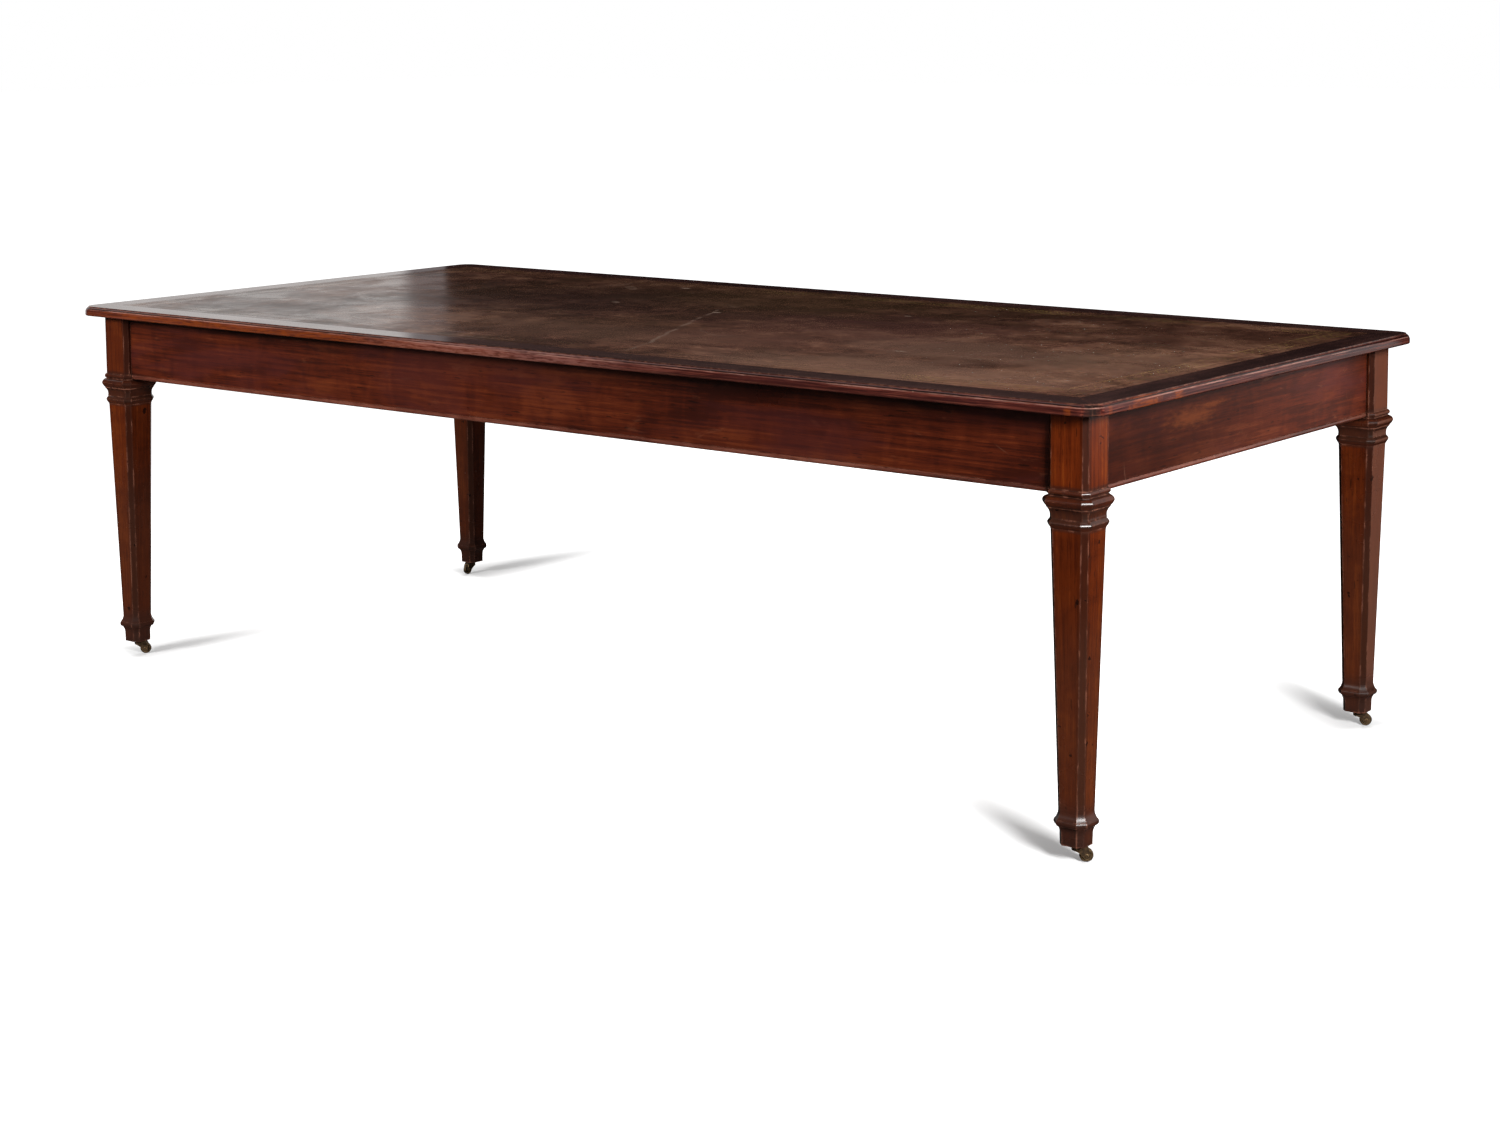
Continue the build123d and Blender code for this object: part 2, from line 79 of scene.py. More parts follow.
class Finish:
    """A material whose nodes are added one call at a time."""

    def __init__(self, name):
        self.material = bpy.data.materials.new(name)
        self.material.use_nodes = True
        self.tree = self.material.node_tree
        self.shader = self.tree.nodes["Principled BSDF"]
        self.place = self.node("ShaderNodeTexCoord").outputs["Object"]

    def node(self, kind, inputs=None, **settings):
        """A new node with its settings made and its inputs fed."""
        made = self.tree.nodes.new(kind)
        for key, value in settings.items():
            setattr(made, key, value)
        for key, value in (inputs or {}).items():
            self.feed(made.inputs[key], value)
        return made

    def feed(self, socket, value):
        """Links a socket to another one, or writes a value in it."""
        if isinstance(value, bpy.types.NodeSocket):
            self.tree.links.new(value, socket)
        elif isinstance(value, tuple) and len(value) == 3 and socket.type == "RGBA":
            socket.default_value = (*value, 1.0)
        else:
            socket.default_value = value

    def sum(self, operation, first, second=0.0, third=0.0):
        """The outcome of one math operation."""
        return self.node("ShaderNodeMath", {0: first, 1: second, 2: third}, operation=operation).outputs[0]

    def times(self, *factors):
        """The product of its factors."""
        total = factors[0]
        for factor in factors[1:]:
            total = self.sum("MULTIPLY", total, factor)
        return total

    def noise(self, vector, scale=1.0, detail=2.0, roughness=0.5, distortion=0.0):
        """Cloudy noise, about 0.5 on average."""
        inputs = {"Vector": vector, "Scale": scale, "Detail": detail, "Roughness": roughness}
        inputs["Distortion"] = distortion
        return self.node("ShaderNodeTexNoise", inputs).outputs["Fac"]

    def band(self, value, low, high):
        """0 at low and 1 at high, with a smooth step between them."""
        inputs = {"Value": value, "From Min": low, "From Max": high}
        return self.node("ShaderNodeMapRange", inputs, interpolation_type="SMOOTHSTEP").outputs["Result"]

    def near(self, value, middle, half, soft):
        """1 where a value lies within half of middle, falling to 0 over soft."""
        off = self.sum("ABSOLUTE", self.sum("SUBTRACT", value, middle))
        return self.band(off, half + soft, half)

    def spread(self, value, low, high):
        """A value between 0 and 1 spread between low and high."""
        inputs = {"Value": value, "To Min": low, "To Max": high}
        return self.node("ShaderNodeMapRange", inputs).outputs["Result"]

    def blend(self, share, first, second):
        """The first colour where the share is 0 and the second where it is 1."""
        made = self.node("ShaderNodeMix", data_type="RGBA")
        first_colour, second_colour = made.inputs[6], made.inputs[7]
        self.feed(made.inputs["Factor"], share)
        self.feed(first_colour, first)
        self.feed(second_colour, second)
        return made.outputs[2]

    def lay(self, colour, mask, strength, tint):
        """A colour with a tint laid over it where a mask is 1, as strongly as strength says."""
        return self.blend(self.times(mask, strength), colour, tint)

    def gain(self, colour, share):
        """A colour made lighter or darker by a factor."""
        inputs = {0: colour, "Scale": share}
        return self.node("ShaderNodeVectorMath", inputs, operation="SCALE").outputs["Vector"]

    def tones(self, value, shades, low=0.405, high=0.615):
        """A dark, a middle and a light shade along a value, with the middle halfway between low and high."""
        half = (low + high) / 2
        lower = self.blend(self.band(value, low, half), shades[0], shades[1])
        return self.blend(self.band(value, half, high), lower, shades[2])

    def stretch(self, scales, offset=(0.0, 0.0, 0.0)):
        """Object coordinates, each times its own scale, and moved by an offset."""
        inputs = {"Vector": self.place, "Scale": scales, "Location": offset}
        return self.node("ShaderNodeMapping", inputs).outputs["Vector"]

    def along_grain(self, axis, along, across, offset=0.0):
        """Object coordinates stretched so that a pattern runs along one axis."""
        scales = [across, across, across]
        scales["XYZ".index(axis)] = along
        return self.stretch(tuple(scales), (offset, offset, offset))

    def parts(self, vector=None):
        """The three parts of a vector, or of the object coordinates."""
        made = self.node("ShaderNodeSeparateXYZ", {"Vector": self.place if vector is None else vector})
        return made.outputs["X"], made.outputs["Y"], made.outputs["Z"]

    def patch(self, middle, half, ragged=0.5, soft=0.5, upright=False):
        """1 in an oval on the plane of the top, or upright along the width, with a soft and ragged edge."""
        lumps, lumps_through = 2.6, 40.0
        first, second = self.parts()[1:] if upright else self.parts()[:2]
        off = self.node("ShaderNodeCombineXYZ", {
            "X": self.sum("DIVIDE", self.sum("SUBTRACT", first, middle[0]), half[0]),
            "Y": self.sum("DIVIDE", self.sum("SUBTRACT", second, middle[1]), half[1]),
        }).outputs["Vector"]
        reach = self.node("ShaderNodeVectorMath", {0: off}, operation="LENGTH").outputs["Value"]
        fine = (lumps / half[0], lumps / half[1])
        scales = (lumps_through, *fine) if upright else (*fine, lumps_through)
        rough = self.noise(self.stretch(scales), detail=4.0, roughness=0.65)
        shift = self.sum("MULTIPLY_ADD", rough, 4.0 * ragged, -2.0 * ragged)
        return self.band(self.sum("ADD", reach, shift), 1.0 + soft, 1.0 - soft)

    def worn_edge(self, radius):
        """1 on the arrises of the solids and 0 on their flats, by how far a rounded normal turns there."""
        flat_turn, arris_turn = 0.997, 0.93
        rounded = self.node("ShaderNodeBevel", {"Radius": radius}, samples=6).outputs["Normal"]
        flat = self.node("ShaderNodeNewGeometry").outputs["Normal"]
        turn = self.node("ShaderNodeVectorMath", {0: rounded, 1: flat}, operation="DOT_PRODUCT")
        return self.band(turn.outputs["Value"], flat_turn, arris_turn)

    def recess(self, distance, wide=0.75, narrow=0.25):
        """1 in the quirks of the mouldings and under overhangs, where the ambient occlusion finds the
        surround closed, and 0 on open faces.
        """
        open_share = self.node("ShaderNodeAmbientOcclusion", {"Distance": distance}, samples=8).outputs["AO"]
        return self.band(open_share, wide, narrow)

    def relief(self, height, distance, strength=1.0, normal=None):
        """A normal tilted by the slopes of a height, on top of another normal if one is given."""
        inputs = {"Height": height, "Distance": distance, "Strength": strength}
        if normal is not None:
            inputs["Normal"] = normal
        return self.node("ShaderNodeBump", inputs).outputs["Normal"]

    def set(self, **sockets):
        """Feeds the shader's inputs, named with low lines for their blanks."""
        for key, value in sockets.items():
            self.feed(self.shader.inputs[key.replace("_", " ")], value)

    def so_far(self, socket="Base Color"):
        """The colour, or another value, that the finish has so far, to build on."""
        return self.shader.inputs[socket].links[0].from_socket


def darker(shade, share):
    """A shade times a share."""
    return tuple(share * part for part in shade)


# Wood


def grain_of(wood, axis, ribbon, streak):
    """Tone of the grain, about 0.5: zones, ribbons and streaks along it, and a faint figure across it."""
    zones = wood.noise(wood.along_grain(axis, 1.3, 6.0), detail=3.0, roughness=0.55, distortion=0.6)
    ribbons = wood.noise(wood.along_grain(axis, 2.4, 62.0, 3.0), detail=4.0, roughness=0.60, distortion=0.5)
    streaks = wood.noise(wood.along_grain(axis, 6.0, 230.0, 7.0), detail=4.0, roughness=0.62)
    figure = wood.noise(wood.along_grain(axis, 17.0, 9.0, 1.0), detail=3.0, roughness=0.55, distortion=1.4)
    zone_share, figure_share = 0.50, 0.20
    start = 0.15 - (ribbon + streak) / 2
    tone = wood.sum("MULTIPLY_ADD", zones, zone_share, start)
    tone = wood.sum("MULTIPLY_ADD", ribbons, ribbon, tone)
    tone = wood.sum("MULTIPLY_ADD", streaks, streak, tone)
    return wood.sum("MULTIPLY_ADD", figure, figure_share, tone)


def mahogany(name, axis, shades, polish=0.30, shine=0.30, edge=0.30, shade_and_grime=0.030, ribbon=0.32, streak=0.38):
    """Polished mahogany: zones, ribbons and streaks along the grain, short dark pores, grime and painted
    shade in the corners and under overhangs, and pale broken arrises."""
    wood = Finish(name)
    tone = grain_of(wood, axis, ribbon, streak)
    threads = wood.noise(wood.along_grain(axis, 18.0, 900.0), detail=3.0, roughness=0.6)
    pores = wood.noise(wood.along_grain(axis, 40.0, 1300.0), detail=2.0, roughness=0.5)
    tone = wood.sum("ADD", tone, wood.sum("MULTIPLY_ADD", threads, 0.20, -0.10))
    colour = wood.tones(tone, shades)
    colour = wood.lay(colour, wood.band(pores, 0.58, 0.68), strength=0.5, tint=darker(shades[0], 0.4))
    ticks = wood.noise(wood.along_grain(axis, 26.0, 210.0, 5.0), detail=2.0, roughness=0.5)
    colour = wood.lay(colour, wood.band(ticks, 0.695, 0.725), strength=0.7, tint=DIRT_AND_SHADE)
    rubs = wood.noise(wood.along_grain(axis, 9.0, 34.0, 2.0), detail=5.0, roughness=0.7, distortion=0.8)
    colour = wood.lay(colour, wood.band(rubs, 0.60, 0.74), strength=0.30, tint=RUBBED_WOOD)
    # Grime and painted shade: darker in the quirks and in the shadow band under the top's overhang
    colour = wood.lay(colour, wood.recess(shade_and_grime, wide=0.92, narrow=0.54), strength=0.92, tint=DIRT_AND_SHADE)
    broken = wood.band(wood.noise(wood.place, scale=30.0, detail=4.0, roughness=0.65), 0.42, 0.60)
    pale = wood.times(wood.worn_edge(0.0038), wood.sum("MULTIPLY_ADD", broken, 1.6 * edge, 0.2 * edge))
    colour = wood.blend(pale, colour, WORN_ARRIS)
    smear = wood.noise(wood.place, scale=5.0, detail=5.0, roughness=0.6)
    wood.set(Base_Color=colour, Roughness=wood.spread(smear, polish - 0.07, polish + 0.13))
    wood.set(Specular_IOR_Level=shine)
    height = wood.sum("MULTIPLY_ADD", threads, 0.5, wood.sum("MULTIPLY", pores, -0.5))
    waves = wood.relief(smear, distance=0.0010, strength=0.22)
    wood.set(Normal=wood.relief(height, distance=0.00005, strength=0.5, normal=waves))
    return wood


def scratches(finish, scale, width, kept_low=0.60, kept_high=0.68):
    """Thin wandering lines where a slow noise crosses its middle value, kept in a few places only."""
    path = finish.noise(finish.place, scale=scale, detail=1.0, roughness=0.4, distortion=1.2)
    line = finish.near(path, 0.5, 0.0, width)
    kept = finish.band(finish.noise(finish.place, scale=7.0, detail=2.0, roughness=0.5), kept_low, kept_high)
    return finish.times(line, kept)


# Heights on the legs in metres: middle, half and soft edge of a moulding, or where a change starts and
# where it is full
CAPITAL = (0.5830, 0.0350, 0.0040)
COVE = (0.5720, 0.0140, 0.0040)
SHAFT = (0.560, 0.530)
SHAFT_RUBBED = (0.480, 0.300)
LEG_BLOCK = (0.55, 0.62)
FOOT = (0.112, 0.075)
# The chamfer tint and the left legs' tint are painted shade; the pale side tint is painted light
LEG_TINTS = {
    "chamfer": (0.020, 0.0050, 0.0022),
    "beside_arris": (0.018, 0.0040, 0.0018),
    "capital": (0.030, 0.0100, 0.0060),
    "cove": (0.020, 0.0120, 0.0085),
    "shaft": (0.022, 0.0040, 0.0010),
    "shaft_rubbed": (0.052, 0.0235, 0.0140),
    "left_legs_shade": (0.024, 0.0060, 0.0036),
    "painted_lit_side": (0.235, 0.100, 0.066),
    "foot": (0.026, 0.0110, 0.0080),
    "knocked": (0.250, 0.096, 0.060),
}


def leg_mahogany():
    """The legs' straight vertical grain: darker beside the arrises and on the mouldings, painted shade on the
    chamfers and the left legs, painted light and sheen on the back right leg's right faces, with small dents
    and knocked corners."""
    wood = mahogany("leg_mahogany", "Z", LEG_TONES, polish=0.22, shine=0.25, edge=0.0, shade_and_grime=0.012,
                    ribbon=0.16, streak=0.34)
    colour = wood.so_far()
    facing, facing_y, _ = wood.parts(wood.node("ShaderNodeTexCoord").outputs["Normal"])
    diagonal = wood.sum("ABSOLUTE", wood.times(facing, facing_y))
    # Painted shade: the chamfers, facing between front and side, are darkened
    colour = wood.lay(colour, wood.band(diagonal, 0.30, 0.44), strength=0.84, tint=LEG_TINTS["chamfer"])
    colour = wood.lay(colour, wood.worn_edge(0.0180), strength=0.66, tint=LEG_TINTS["beside_arris"])
    length, width, height = wood.parts()
    colour = wood.lay(colour, wood.near(height, *CAPITAL), strength=0.52, tint=LEG_TINTS["capital"])
    colour = wood.lay(colour, wood.near(height, *COVE), strength=0.42, tint=LEG_TINTS["cove"])
    colour = wood.lay(colour, wood.band(height, *SHAFT), strength=0.36, tint=LEG_TINTS["shaft"])
    colour = wood.lay(colour, wood.band(height, *SHAFT_RUBBED), strength=0.26, tint=LEG_TINTS["shaft_rubbed"])
    # Painted shade on the left legs, strongest on their blocks under the top
    left_legs_shade = wood.band(length, 0.0, -1.0)
    colour = wood.lay(colour, left_legs_shade, strength=wood.spread(wood.band(height, *LEG_BLOCK), 0.14, 0.46),
                      tint=LEG_TINTS["left_legs_shade"])
    # Painted light and sheen on the right faces of the back right leg
    back_right = (wood.band(length, 0.0, 0.5), wood.band(width, 0.0, 0.3))
    painted_lit_side = wood.times(wood.band(facing, 0.85, 0.97), *back_right)
    colour = wood.lay(colour, painted_lit_side, strength=0.44, tint=LEG_TINTS["painted_lit_side"])
    foot = wood.band(height, *FOOT)
    colour = wood.lay(colour, foot, strength=0.60, tint=LEG_TINTS["foot"])
    wood.set(Roughness=wood.sum("MULTIPLY_ADD", foot, 0.05, wood.so_far("Roughness")))
    dents = wood.band(wood.noise(wood.place, scale=42.0, detail=3.0, roughness=0.55), 0.69, 0.72)
    colour = wood.lay(colour, dents, strength=0.8, tint=DIRT_AND_SHADE)
    broken = wood.band(wood.noise(wood.stretch((60.0, 60.0, 26.0)), detail=4.0, roughness=0.65), 0.47, 0.60)
    knocked = wood.times(wood.worn_edge(0.0046), wood.spread(broken, 0.10, 0.72))
    wood.set(Base_Color=wood.blend(knocked, colour, LEG_TINTS["knocked"]))
    return wood


# Lighter figured places on the end rails: middle and half, along the width and up
FIGURED_PATCHES = (((-0.195, 0.689), (0.060, 0.013)), ((-0.120, 0.704), (0.035, 0.004)))
RAIL_SHINE = {"X": 0.20, "Y": 0.08}
RAIL_TINTS = {
    "purple": (0.062, 0.0128, 0.0118),
    "figured": (0.165, 0.0340, 0.0080),
    "figured_patch": (0.165, 0.0400, 0.0110),
    "scratch": (0.210, 0.100, 0.062),
}
# The end rails grow lighter from front to back, a painted sheen, between two places along the width, by a
# gain
END_RAIL_FROM, END_RAIL_TO = -0.42, 0.34
END_RAIL_SHEEN_GAIN = (0.70, 1.95)


def rail_mahogany(name, axis, shades, shade_and_grime):
    """The rails' grain lies level, with purple and orange zones, a few fine pale scratches and, on the end
    rails, a painted sheen growing towards the back.
    """
    wood = mahogany(name, axis, shades, polish=0.28, shine=RAIL_SHINE[axis], edge=0.22, shade_and_grime=shade_and_grime)
    colour = wood.so_far()
    purple = wood.noise(wood.along_grain(axis, 2.6, 9.0, 4.0), detail=4.0, roughness=0.6, distortion=0.5)
    colour = wood.lay(colour, wood.band(purple, 0.46, 0.66), strength=0.50, tint=RAIL_TINTS["purple"])
    figured = wood.noise(wood.along_grain(axis, 5.0, 15.0, 8.0), detail=4.0, roughness=0.6, distortion=0.5)
    colour = wood.lay(colour, wood.band(figured, 0.60, 0.74), strength=0.30, tint=RAIL_TINTS["figured"])
    if axis == "Y":
        # A painted sheen: the end rails lighter towards the back
        back = wood.band(wood.parts()[1], END_RAIL_FROM, END_RAIL_TO)
        colour = wood.gain(colour, wood.spread(wood.times(back, back), *END_RAIL_SHEEN_GAIN))
        for middle, half in FIGURED_PATCHES:
            spot = wood.patch(middle, half, ragged=0.8, soft=0.8, upright=True)
            colour = wood.lay(colour, spot, strength=0.50, tint=RAIL_TINTS["figured_patch"])
    marks = wood.times(scratches(wood, scale=3.1, width=0.0020, kept_low=0.66, kept_high=0.72), 0.30)
    wood.set(Base_Color=wood.blend(marks, colour, RAIL_TINTS["scratch"]))
    return wood


# Rubbed places on the thumb moulding, in metres on the plane of the top: middle and half of each way
BARE_PATCHES = (
    ((1.205, -0.590), (0.006, 0.006)), ((1.254, -0.542), (0.006, 0.005)), ((1.254, -0.430), (0.008, 0.040)),
    ((1.254, -0.325), (0.008, 0.014)), ((-0.720, -0.590), (0.420, 0.007)), ((-0.180, -0.590), (0.150, 0.006)),
    ((-1.254, -0.200), (0.008, 0.160)), ((-0.500, 0.590), (0.200, 0.007)), ((0.420, 0.590), (0.120, 0.007)),
)
# A patch at the near corner of the thumb moulding, painted dark as a dark reflection, and rougher
CORNER_DARK_REFLECTION = ((1.240, -0.575), (0.012, 0.012))
# A stretch along the front thumb moulding, painted pale as a sheen
SHEEN_STRETCH = ((-0.020, -0.590), (0.300, 0.010))
# Level lines along the thumb moulding: height, half of its width, and how softly it ends
# The quirk line is painted shade in the quirk below the top's arris
QUIRK_SHADE = (TOP_HEIGHT - 0.0042, 0.0005, 0.0007)
# The bright line is a painted highlight on the thumb's shoulder
HIGHLIGHT_LINE = (TOP_HEIGHT - 0.0062, 0.0003, 0.0011)
# The lower line is partly wear and partly a painted highlight on the lower arris
LOWER_LINE = (TOP_LOW.z + 0.0030, 0.0003, 0.0010)
FACE_FROM, FACE_TO = TOP_HEIGHT - 0.0010, TOP_HEIGHT - 0.0020
BORDER_SHINE = {"X": 0.25, "Y": 0.17}
BORDER_TINTS = {
    "stain": (0.034, 0.0080, 0.0078),
    "corner_dark_reflection": (0.012, 0.0085, 0.0075),
    "sheen_stretch": (0.240, 0.092, 0.072),
    "highlight_line": (0.330, 0.165, 0.130),
    "lower_line": (0.220, 0.078, 0.044),
    "chip": (0.40, 0.25, 0.18),
}


def thumb_face(wood, axis, height, corner):
    """The thumb moulding's colour: red streaks, stains, bare patches, a corner painted dark as a dark
    reflection, a stretch of painted sheen and three level lines: painted shade in the quirk, a painted
    highlight, and a lower line of wear and painted highlight.
    """
    streaks = wood.noise(wood.along_grain(axis, 9.0, 420.0, 9.0), detail=4.0, roughness=0.6, distortion=0.4)
    face = wood.tones(streaks, THUMB_TONES, 0.40, 0.62)
    stain = wood.band(wood.noise(wood.stretch((9.0, 9.0, 60.0)), detail=5.0, roughness=0.65), 0.46, 0.60)
    face = wood.lay(face, stain, strength=0.62, tint=BORDER_TINTS["stain"])
    bare = None
    for middle, half in BARE_PATCHES:
        spot = wood.patch(middle, half, ragged=0.75)
        bare = spot if bare is None else wood.sum("MAXIMUM", bare, spot)
    breaks = wood.noise(wood.along_grain(axis, 34.0, 300.0, 2.0), detail=4.0, roughness=0.65)
    broken = wood.band(breaks, 0.40, 0.58)
    face = wood.lay(face, bare, strength=wood.spread(broken, 0.25, 0.85), tint=BARE_WOOD)
    # Painted dark reflection at the near corner
    face = wood.lay(face, corner, strength=0.92, tint=BORDER_TINTS["corner_dark_reflection"])
    # Painted shade in the quirk
    face = wood.lay(face, wood.near(height, *QUIRK_SHADE), strength=0.85, tint=DIRT_AND_SHADE)
    rubs = wood.noise(wood.along_grain(axis, 12.0, 60.0, 6.0), detail=4.0, roughness=0.6)
    patchy = wood.band(rubs, 0.40, 0.60)
    # Painted sheen along the middle of the front
    sheen_stretch = wood.patch(*SHEEN_STRETCH, ragged=0.4)
    sheen_share = wood.spread(broken, 0.15, 0.75)
    face = wood.lay(face, sheen_stretch, sheen_share, tint=BORDER_TINTS["sheen_stretch"])
    # Painted highlight on the thumb's shoulder, broken up by a noise
    highlight_line = wood.near(height, *HIGHLIGHT_LINE)
    highlight_share = wood.spread(patchy, 0.14, 0.80)
    face = wood.lay(face, highlight_line, highlight_share, tint=BORDER_TINTS["highlight_line"])
    # Wear and a painted highlight on the lower arris
    lower_line = wood.near(height, *LOWER_LINE)
    lower_share = wood.spread(patchy, 0.26, 0.04)
    return wood.lay(face, lower_line, lower_share, tint=BORDER_TINTS["lower_line"])


def border_mahogany(name, axis):
    """The dark polished border, with a red thumb moulding: streaked, rubbed bare in places, nicked, and with
    painted shade, sheen, highlights and a dark reflection on it.
    """
    wood = mahogany(name, axis, BORDER_TONES, polish=0.15, shine=BORDER_SHINE[axis], edge=0.0, shade_and_grime=0.006)
    top_colour = wood.so_far()
    height = wood.parts()[2]
    # The near corner's patch: painted dark as a dark reflection, and made rougher below
    corner = wood.patch(*CORNER_DARK_REFLECTION, ragged=0.2)
    on_face = wood.band(height, FACE_FROM, FACE_TO)
    colour = wood.blend(on_face, top_colour, thumb_face(wood, axis, height, corner))
    nicks = wood.band(wood.noise(wood.place, scale=70.0, detail=3.0, roughness=0.6), 0.44, 0.60)
    pale = wood.times(wood.worn_edge(0.0026), wood.sum("MULTIPLY_ADD", nicks, 0.55, 0.10))
    colour = wood.blend(pale, colour, WORN_ARRIS)
    chips = wood.band(wood.noise(wood.stretch((95.0, 95.0, 210.0)), detail=2.0, roughness=0.5), 0.752, 0.770)
    colour = wood.lay(colour, chips, strength=0.35, tint=BORDER_TINTS["chip"])
    rough = wood.sum("MULTIPLY_ADD", wood.times(on_face, corner), 0.34, wood.so_far("Roughness"))
    wood.set(Base_Color=colour, Roughness=rough)
    return wood


PLANED_DARK, PLANED_LIGHT, PLANED_HOLLOWS = (0.085, 0.042, 0.022), (0.235, 0.130, 0.070), (0.03, 0.016, 0.010)


def planed_wood(name, axis):
    """Unpolished wood under the top: dry, pale brown, with plain grain."""
    wood = Finish(name)
    streaks = wood.noise(wood.along_grain(axis, 1.6, 60.0), detail=5.0, roughness=0.6, distortion=0.5)
    threads = wood.noise(wood.along_grain(axis, 12.0, 600.0), detail=2.0, roughness=0.5)
    tone = wood.sum("MULTIPLY_ADD", threads, 0.3, wood.sum("MULTIPLY", streaks, 0.8))
    colour = wood.blend(wood.band(tone, 0.38, 0.70), PLANED_DARK, PLANED_LIGHT)
    # Darker in the hollows
    colour = wood.lay(colour, wood.recess(0.02), strength=0.5, tint=PLANED_HOLLOWS)
    wood.set(Base_Color=colour, Roughness=wood.spread(streaks, 0.62, 0.80), Specular_IOR_Level=0.2)
    wood.set(Normal=wood.relief(tone, distance=0.0002, strength=0.4))
    return wood


# Leather

LEATHER_TONES = ((0.027, 0.0102, 0.0060), (0.068, 0.0276, 0.0168), (0.138, 0.0660, 0.0400))
LEATHER_TINTS = {
    "olive": (0.072, 0.0370, 0.0170),
    "seam": (0.17, 0.105, 0.072),
    "crease": (0.22, 0.140, 0.105),
    "scuff": (0.40, 0.290, 0.230),
    "scratch": (0.20, 0.130, 0.095),
}
GILT = (0.330, 0.215, 0.066)
# Lines pressed round the leather: how far in from its edge, and half their width
TOOLED_LINES = ((0.0240, 0.0006), (0.0272, 0.0004), (0.0640, 0.0004), (0.0672, 0.0006))
TOOLED_SOFT = 0.0004
MOTIF_MIDDLE, MOTIF_REACH, MOTIF_PITCH = 0.0456, 0.0125, 0.026
# Where the skins meet along the length, with half the width and the soft edge of a seam
SEAMS = (-0.335, 0.752)
SEAM_HALF, SEAM_SOFT = 0.0006, 0.0018
# Worn and stained places: colour, strength, then the middle and half of each way on the plane of the top
STAINS = (
    ((0.118, 0.0640, 0.0440), 0.55, (0.700, -0.430), (0.360, 0.110)),
    ((0.050, 0.0190, 0.0150), 0.60, (0.360, 0.060), (0.300, 0.170)),
    ((0.078, 0.0320, 0.0230), 0.50, (0.260, -0.230), (0.200, 0.100)),
    ((0.110, 0.0580, 0.0400), 0.55, (0.690, -0.150), (0.230, 0.130)),
    ((0.062, 0.0360, 0.0150), 0.35, (-0.120, 0.330), (0.420, 0.180)),
    ((0.040, 0.0150, 0.0090), 0.50, (0.960, 0.290), (0.230, 0.150)),
    ((0.100, 0.0560, 0.0360), 0.40, (1.020, -0.150), (0.150, 0.240)),
    ((0.022, 0.0085, 0.0055), 0.50, (-0.480, 0.120), (0.240, 0.280)),
    ((0.095, 0.0480, 0.0300), 0.45, (-0.050, -0.300), (0.300, 0.120)),
    ((0.080, 0.0300, 0.0180), 0.50, (-1.020, 0.080), (0.120, 0.220)),
)
# Short bright scuffs: middle, then half of each way
SCUFFS = (
    ((-0.050, 0.090), (0.009, 0.006)), ((-0.355, 0.124), (0.010, 0.004)), ((-0.415, 0.430), (0.012, 0.004)),
    ((0.310, 0.260), (0.008, 0.003)), ((0.620, -0.210), (0.014, 0.003)), ((-0.700, -0.240), (0.006, 0.008)),
)
# The crease: how far it leans, its line and its stretch across the width, each as middle, half and soft edge
CREASE_LEAN = 0.467
CREASE_LINE = (0.012, 0.0016, 0.0050)
CREASE_STRETCH = (-0.150, 0.270, 0.100)


def hide_colour(hide, along, across, cloud, mottle):
    """Brown and olive mottling, brushed streaks, stains, painted sheen and light towards the front right,
    three skins, a crease, scuffs and scratches.
    """
    fine = hide.noise(hide.place, scale=110.0, detail=3.0, roughness=0.6)
    tone = hide.sum("MULTIPLY_ADD", mottle, 0.40, hide.sum("MULTIPLY", cloud, 0.66))
    tone = hide.sum("MULTIPLY_ADD", fine, 0.24, hide.sum("SUBTRACT", tone, 0.15))
    colour = hide.tones(tone, LEATHER_TONES, 0.43, 0.62)
    olive_place = hide.stretch((3.0, 3.0, 3.0), offset=(4.0, 7.0, 1.0))
    olive = hide.noise(olive_place, detail=4.0, roughness=0.6, distortion=0.5)
    colour = hide.lay(colour, hide.band(olive, 0.46, 0.60), strength=0.20, tint=LEATHER_TINTS["olive"])
    streaks = hide.noise(hide.stretch((4.0, 130.0, 1.0)), detail=5.0, roughness=0.68, distortion=0.3)
    colour = hide.gain(colour, hide.spread(hide.band(streaks, 0.38, 0.62), 0.80, 1.20))
    for shade, strength, middle, half in STAINS:
        spot = hide.patch(middle, half, ragged=0.45, soft=0.6)
        colour = hide.lay(colour, spot, strength, shade)
    # Painted sheen and light: the hide grows lighter towards the front right
    sheen_side = hide.band(hide.sum("MULTIPLY_ADD", across, -1.1, along), -0.8, 1.8)
    colour = hide.gain(colour, hide.spread(sheen_side, 0.96, 2.45))
    rubbed = hide.band(hide.noise(hide.place, scale=12.0, detail=4.0, roughness=0.65), 0.38, 0.62)
    for seam in SEAMS:
        line = hide.near(along, seam, SEAM_HALF, SEAM_SOFT)
        colour = hide.lay(colour, hide.times(line, rubbed), strength=0.42, tint=LEATHER_TINTS["seam"])
    slant = hide.sum("MULTIPLY_ADD", across, CREASE_LEAN, along)
    bends = hide.noise(hide.place, scale=5.0, detail=3.0, roughness=0.6)
    wander = hide.sum("MULTIPLY_ADD", bends, 0.06, slant)
    crease = hide.times(hide.near(wander, *CREASE_LINE), hide.near(across, *CREASE_STRETCH), rubbed)
    colour = hide.lay(colour, crease, strength=0.80, tint=LEATHER_TINTS["crease"])
    for middle, half in SCUFFS:
        spot = hide.patch(middle, half, ragged=0.3, soft=0.5)
        colour = hide.lay(colour, spot, strength=0.75, tint=LEATHER_TINTS["scuff"])
    for scale, width in ((2.3, 0.0022), (3.7, 0.0018)):
        marks = scratches(hide, scale=scale, width=width, kept_low=0.52, kept_high=0.64)
        colour = hide.lay(colour, marks, strength=0.34, tint=LEATHER_TINTS["scratch"])
    return colour


